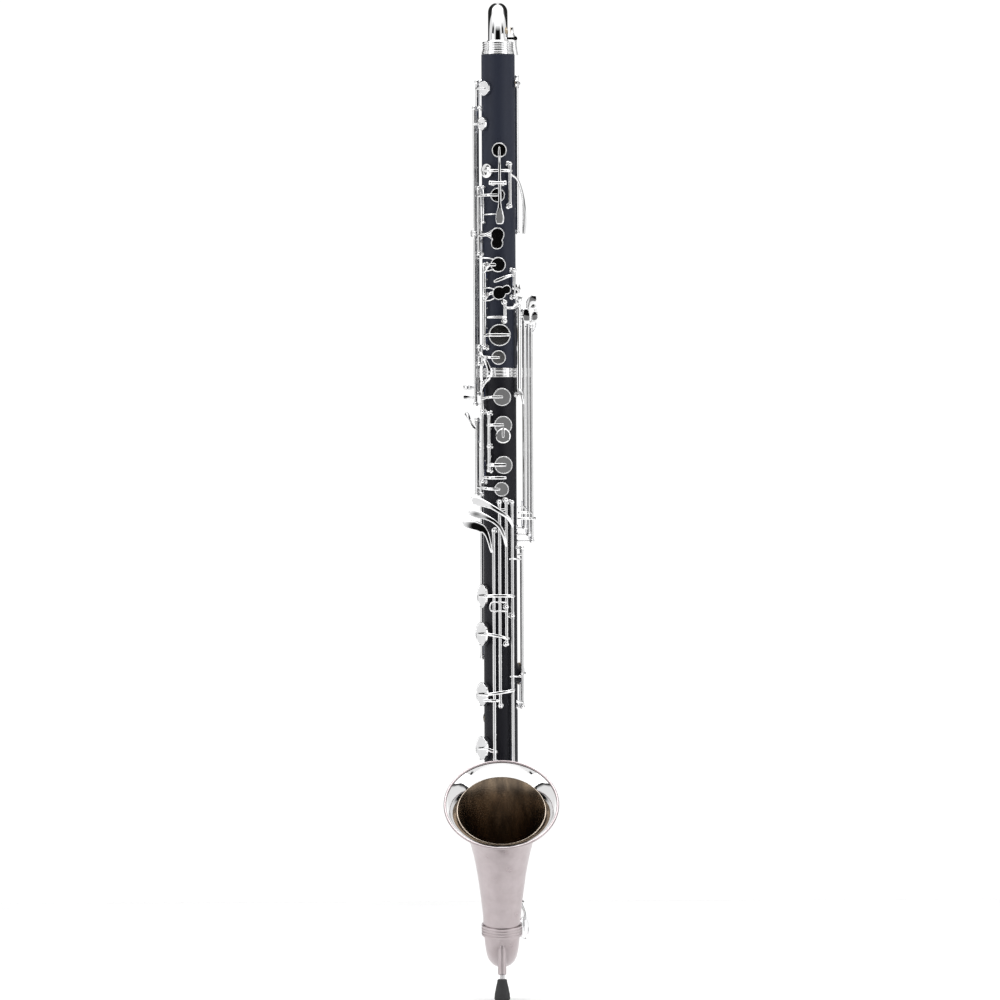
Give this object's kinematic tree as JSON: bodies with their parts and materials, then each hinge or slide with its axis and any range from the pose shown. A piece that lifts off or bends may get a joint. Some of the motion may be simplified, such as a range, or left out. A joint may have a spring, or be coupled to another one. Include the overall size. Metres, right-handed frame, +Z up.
{
  "type": "bass clarinet",
  "caption": "Bass clarinet to low C: keyed two-joint body, curved metal neck with mouthpiece, upturned bell and adjustable floor peg.",
  "frame": {"origin": "centre of the floor peg's foot, on the floor", "axes": "+Z up along the body, -Y the way the bell opens (front), +X to the viewer's right"},
  "size_m": [0.1352, 0.3488, 1.1786],
  "materials": {
    "nickel_plate": "polished nickel plate",
    "bell_plate": "satin nickel plate",
    "ligature_plate": "polished",
    "steel_rod": "ground",
    "upper_resin": "satin blue-black",
    "lower_resin": "satin black",
    "ebonite": "gloss",
    "cane": "raw",
    "cork": "matte",
    "foot_rubber": "matte"
  },
  "bodies": {
    "instrument": {"bell_bow": "bell_plate", "bell_ferrule": "bell_plate", "bell_flare": "bell_plate", "bell_rim": "bell_plate", "bell_socket_ring": "nickel_plate", "fitting_screws": "steel_rod", "hinge_rods": "steel_rod", "key_posts": "nickel_plate", "lower_body": "lower_resin", "middle_ring": "nickel_plate", "neck_socket_ring": "nickel_plate", "peg_socket": "bell_plate", "strap_ring": "nickel_plate", "tenon_corks": "cork", "thumb_rest": "nickel_plate", "upper_body": "upper_resin"},
    "neck": {"neck_tube": "nickel_plate", "neck_collar": "nickel_plate", "neck_corks": "cork", "neck_vent_post": "nickel_plate"},
    "mouthpiece": {"mouthpiece": "ebonite", "reed": "cane", "ligature": "ligature_plate", "ligature_screws": "ligature_plate"},
    "peg": {"peg_rod": "steel_rod", "peg_tip": "foot_rubber"},
    "peg_screw": {"peg_screw": "nickel_plate"},
    "throat_a_key": {"throat_a_key": "nickel_plate"},
    "throat_g_sharp_key": {"throat_g_sharp_key": "nickel_plate"},
    "upper_vent_key": {"upper_vent_key": "nickel_plate"},
    "left_index_key": {"left_index_key": "nickel_plate"},
    "left_middle_key": {"left_middle_key": "nickel_plate"},
    "left_ring_key": {"left_ring_key": "nickel_plate"},
    "left_resonance_key": {"left_resonance_key": "nickel_plate"},
    "left_sliver_key": {"left_sliver_key": "nickel_plate"},
    "left_link_lever": {"left_link_lever": "nickel_plate"},
    "bridge_key_upper": {"bridge_key_upper": "nickel_plate"},
    "side_trill_key_1": {"side_trill_key_1": "nickel_plate"},
    "side_trill_key_2": {"side_trill_key_2": "nickel_plate"},
    "register_key": {"register_key": "nickel_plate"},
    "thumb_key": {"thumb_key": "nickel_plate"},
    "right_index_key": {"right_index_key": "nickel_plate"},
    "right_middle_key": {"right_middle_key": "nickel_plate"},
    "right_ring_key": {"right_ring_key": "nickel_plate"},
    "right_link_bar": {"right_link_bar": "nickel_plate"},
    "side_vent_key": {"side_vent_key": "nickel_plate"},
    "right_little_key_1": {"right_little_key_1": "nickel_plate"},
    "right_little_key_2": {"right_little_key_2": "nickel_plate"},
    "right_little_key_3": {"right_little_key_3": "nickel_plate"},
    "low_e_flat_key": {"low_e_flat_key": "nickel_plate"},
    "low_e_flat_link": {"low_e_flat_link": "nickel_plate"},
    "left_little_key_1": {"left_little_key_1": "nickel_plate"},
    "left_little_key_2": {"left_little_key_2": "nickel_plate"},
    "left_little_key_3": {"left_little_key_3": "nickel_plate"},
    "left_little_key_4": {"left_little_key_4": "nickel_plate"},
    "low_d_key": {"low_d_key": "nickel_plate"},
    "low_c_sharp_key": {"low_c_sharp_key": "nickel_plate"},
    "low_c_key": {"low_c_key": "nickel_plate"},
    "neck_vent_key": {"neck_vent_key": "nickel_plate"},
    "bell_vent_key": {"bell_vent_key": "nickel_plate"}
  },
  "joints": [
    {"name": "neck_swivel", "type": "hinge", "parent": "instrument", "child": "neck", "pos_m": [0, 0.076, 1.119], "axis": [0, 0, 1], "range_deg": [-12, 12]},
    {"name": "mouthpiece_slide", "type": "slide", "parent": "neck", "child": "mouthpiece", "axis": [0, 0.7071, -0.7071], "range_m": [0, 0.01]},
    {"name": "peg_slide", "type": "slide", "parent": "instrument", "child": "peg", "axis": [0, 0, -1], "range_m": [-0.0045, 0.012]},
    {"name": "peg_screw_turn", "type": "hinge", "parent": "instrument", "child": "peg_screw", "pos_m": [0, 0.01, 0.035], "axis": [0, 1, 0], "range_deg": [0, 270]},
    {"name": "throat_a_press", "type": "hinge", "parent": "instrument", "child": "throat_a_key", "pos_m": [0.00125, 0.0458, 0.9626], "axis": [1, 0, 0], "range_deg": [0, 4], "stiffness_Nm_per_rad": 0.02, "springref_deg": -28.65},
    {"name": "throat_g_sharp_press", "type": "hinge", "parent": "instrument", "child": "throat_g_sharp_key", "pos_m": [0.01351, 0.05544, 0.9772], "axis": [0, 0, 1], "range_deg": [0, 6.5], "stiffness_Nm_per_rad": 0.02, "springref_deg": -28.65},
    {"name": "upper_vent_press", "type": "hinge", "parent": "instrument", "child": "upper_vent_key", "pos_m": [-0.0234, 0.0684, 0.9484], "axis": [0, 0, 1], "range_deg": [0, 5.5], "stiffness_Nm_per_rad": 0.02, "springref_deg": -28.65},
    {"name": "left_index_press", "type": "hinge", "parent": "instrument", "child": "left_index_key", "pos_m": [-0.0234, 0.0684, 0.9017], "axis": [0, 0, 1], "range_deg": [0, 6], "stiffness_Nm_per_rad": 0.02, "springref_deg": -28.65},
    {"name": "left_middle_press", "type": "hinge", "parent": "instrument", "child": "left_middle_key", "pos_m": [-0.01709, 0.0583, 0.8662], "axis": [0, 0, 1], "range_deg": [0, 7], "stiffness_Nm_per_rad": 0.02, "springref_deg": -28.65},
    {"name": "left_ring_press", "type": "hinge", "parent": "instrument", "child": "left_ring_key", "pos_m": [-0.01709, 0.0583, 0.8327], "axis": [0, 0, 1], "range_deg": [0, 7], "stiffness_Nm_per_rad": 0.02, "springref_deg": -28.65},
    {"name": "left_resonance_press", "type": "hinge", "parent": "instrument", "child": "left_resonance_key", "pos_m": [-0.01709, 0.0583, 0.7832], "axis": [0, 0, 1], "range_deg": [0, 7], "stiffness_Nm_per_rad": 0.02, "springref_deg": -28.65},
    {"name": "left_sliver_press", "type": "hinge", "parent": "instrument", "child": "left_sliver_key", "pos_m": [0.0177, 0.05891, 0.838], "axis": [0, 0, -1], "range_deg": [0, 8], "stiffness_Nm_per_rad": 0.02, "springref_deg": -28.65},
    {"name": "left_link_lever_press", "type": "hinge", "parent": "instrument", "child": "left_link_lever", "pos_m": [0.0069, 0.05239, 0.81], "axis": [0, 0, 1], "range_deg": [0, 4], "stiffness_Nm_per_rad": 0.02, "springref_deg": -28.65},
    {"name": "bridge_upper_press", "type": "hinge", "parent": "instrument", "child": "bridge_key_upper", "pos_m": [-0.0234, 0.0684, 0.7567], "axis": [0, 0, 1], "range_deg": [0, 5], "stiffness_Nm_per_rad": 0.02, "springref_deg": -28.65},
    {"name": "side_trill_1_press", "type": "hinge", "parent": "instrument", "child": "side_trill_key_1", "pos_m": [-0.02494, 0.07884, 1.0747], "axis": [0, 0, -1], "range_deg": [0, 7.5], "stiffness_Nm_per_rad": 0.02, "springref_deg": -28.65},
    {"name": "side_trill_2_press", "type": "hinge", "parent": "instrument", "child": "side_trill_key_2", "pos_m": [-0.02823, 0.07403, 1.033], "axis": [0, 0, -1], "range_deg": [0, 8], "stiffness_Nm_per_rad": 0.02, "springref_deg": -28.65},
    {"name": "register_press", "type": "hinge", "parent": "instrument", "child": "register_key", "pos_m": [0.02172, 0.08755, 1.081], "axis": [0, 0, 1], "range_deg": [0, 6.5], "stiffness_Nm_per_rad": 0.02, "springref_deg": -28.65},
    {"name": "thumb_press", "type": "hinge", "parent": "instrument", "child": "thumb_key", "pos_m": [-0.01581, 0.09484, 0.894], "axis": [0, 0, -1], "range_deg": [0, 6.5], "stiffness_Nm_per_rad": 0.02, "springref_deg": -28.65},
    {"name": "right_index_press", "type": "hinge", "parent": "instrument", "child": "right_index_key", "pos_m": [-0.0201, 0.06182, 0.71], "axis": [0, 0, 1], "range_deg": [0, 6.5], "stiffness_Nm_per_rad": 0.02, "springref_deg": -28.65},
    {"name": "right_middle_press", "type": "hinge", "parent": "instrument", "child": "right_middle_key", "pos_m": [-0.0126, 0.05487, 0.677], "axis": [0, 0, 1], "range_deg": [0, 7.5], "stiffness_Nm_per_rad": 0.02, "springref_deg": -28.65},
    {"name": "right_ring_press", "type": "hinge", "parent": "instrument", "child": "right_ring_key", "pos_m": [-0.0126, 0.05487, 0.6298], "axis": [0, 0, 1], "range_deg": [0, 7.5], "stiffness_Nm_per_rad": 0.02, "springref_deg": -28.65},
    {"name": "right_link_bar_press", "type": "hinge", "parent": "instrument", "child": "right_link_bar", "pos_m": [-0.0201, 0.06182, 0.6156], "axis": [0, 0, 1], "range_deg": [0, 4.5], "stiffness_Nm_per_rad": 0.02, "springref_deg": -28.65},
    {"name": "side_vent_press", "type": "hinge", "parent": "instrument", "child": "side_vent_key", "pos_m": [-0.0268, 0.07271, 0.6012], "axis": [0, 0, -1], "range_deg": [0, 6], "stiffness_Nm_per_rad": 0.02, "springref_deg": -28.65},
    {"name": "right_little_1_press", "type": "hinge", "parent": "instrument", "child": "right_little_key_1", "pos_m": [0.01411, 0.05585, 0.4752], "axis": [0, 0, 1], "range_deg": [0, 4.2], "stiffness_Nm_per_rad": 0.02, "springref_deg": -28.65},
    {"name": "right_little_2_press", "type": "hinge", "parent": "instrument", "child": "right_little_key_2", "pos_m": [0.00719, 0.05248, 0.4303], "axis": [0, 0, -1], "range_deg": [0, 4.5], "stiffness_Nm_per_rad": 0.02, "springref_deg": -28.65},
    {"name": "right_little_3_press", "type": "hinge", "parent": "instrument", "child": "right_little_key_3", "pos_m": [-0.0076, 0.0526, 0.2952], "axis": [0, 0, -1], "range_deg": [0, 5.5], "stiffness_Nm_per_rad": 0.02, "springref_deg": -28.65},
    {"name": "low_e_flat_press", "type": "hinge", "parent": "instrument", "child": "low_e_flat_key", "pos_m": [0.01411, 0.05585, 0.359], "axis": [0, 0, -1], "range_deg": [0, 4.2], "stiffness_Nm_per_rad": 0.02, "springref_deg": -28.65},
    {"name": "low_e_flat_link_press", "type": "hinge", "parent": "instrument", "child": "low_e_flat_link", "pos_m": [-0.0006, 0.05141, 0.352], "axis": [0, 0, -1], "range_deg": [0, 5], "stiffness_Nm_per_rad": 0.02, "springref_deg": -28.65},
    {"name": "left_little_1_press", "type": "hinge", "parent": "instrument", "child": "left_little_key_1", "pos_m": [0.02247, 0.06599, 0.806], "axis": [0, 0, 1], "range_deg": [0, 5], "stiffness_Nm_per_rad": 0.02, "springref_deg": -28.65},
    {"name": "left_little_2_press", "type": "hinge", "parent": "instrument", "child": "left_little_key_2", "pos_m": [0.02884, 0.07297, 0.8256], "axis": [0, 0, 1], "range_deg": [0, 5], "stiffness_Nm_per_rad": 0.02, "springref_deg": -28.65},
    {"name": "left_little_3_press", "type": "hinge", "parent": "instrument", "child": "left_little_key_3", "pos_m": [0.03378, 0.07718, 0.8036], "axis": [0, 0, 1], "range_deg": [0, 5], "stiffness_Nm_per_rad": 0.02, "springref_deg": -28.65},
    {"name": "left_little_4_press", "type": "hinge", "parent": "instrument", "child": "left_little_key_4", "pos_m": [0.03742, 0.0826, 0.8176], "axis": [0, 0, -1], "range_deg": [0, 5], "stiffness_Nm_per_rad": 0.02, "springref_deg": -28.65},
    {"name": "low_d_press", "type": "hinge", "parent": "instrument", "child": "low_d_key", "pos_m": [0.02523, 0.06971, 0.383], "axis": [0, 0, 1], "range_deg": [0, 6.5], "stiffness_Nm_per_rad": 0.02, "springref_deg": -28.65},
    {"name": "low_c_sharp_press", "type": "hinge", "parent": "instrument", "child": "low_c_sharp_key", "pos_m": [-0.02172, 0.08755, 0.43], "axis": [0, 0, -1], "range_deg": [0, 7.5], "stiffness_Nm_per_rad": 0.02, "springref_deg": -28.65},
    {"name": "low_c_press", "type": "hinge", "parent": "instrument", "child": "low_c_key", "pos_m": [0.00921, 0.09881, 0.33], "axis": [0, 0, 1], "range_deg": [0, 7.5], "stiffness_Nm_per_rad": 0.02, "springref_deg": -28.65},
    {"name": "neck_vent_press", "type": "hinge", "parent": "neck", "child": "neck_vent_key", "pos_m": [0.0206, 0.076, 1.1342], "axis": [0, 1, 0], "range_deg": [0, 3.4], "stiffness_Nm_per_rad": 0.01, "springref_deg": -22.92},
    {"name": "bell_vent_press", "type": "hinge", "parent": "instrument", "child": "bell_vent_key", "pos_m": [0.02225, 0.06701, 0.1132], "axis": [-0.3746, -0.9272, 0], "range_deg": [0, 6], "stiffness_Nm_per_rad": 0.02, "springref_deg": -28.65}
  ],
  "couplings": [
    {"joint": "upper_vent_press", "follows": "left_index_press", "ratio": 0.9166},
    {"joint": "left_resonance_press", "follows": "left_ring_press", "ratio": 1},
    {"joint": "bridge_upper_press", "follows": "right_index_press", "ratio": 0.7692},
    {"joint": "low_e_flat_link_press", "follows": "low_e_flat_press", "ratio": 1.1904},
    {"joint": "right_link_bar_press", "follows": "right_ring_press", "ratio": 0.6},
    {"joint": "left_little_1_press", "follows": "right_little_1_press", "ratio": 1.1904},
    {"joint": "left_little_2_press", "follows": "right_little_2_press", "ratio": 1.1111},
    {"joint": "left_little_3_press", "follows": "right_little_3_press", "ratio": 0.909},
    {"joint": "left_little_4_press", "follows": "low_d_press", "ratio": 0.7692}
  ]
}
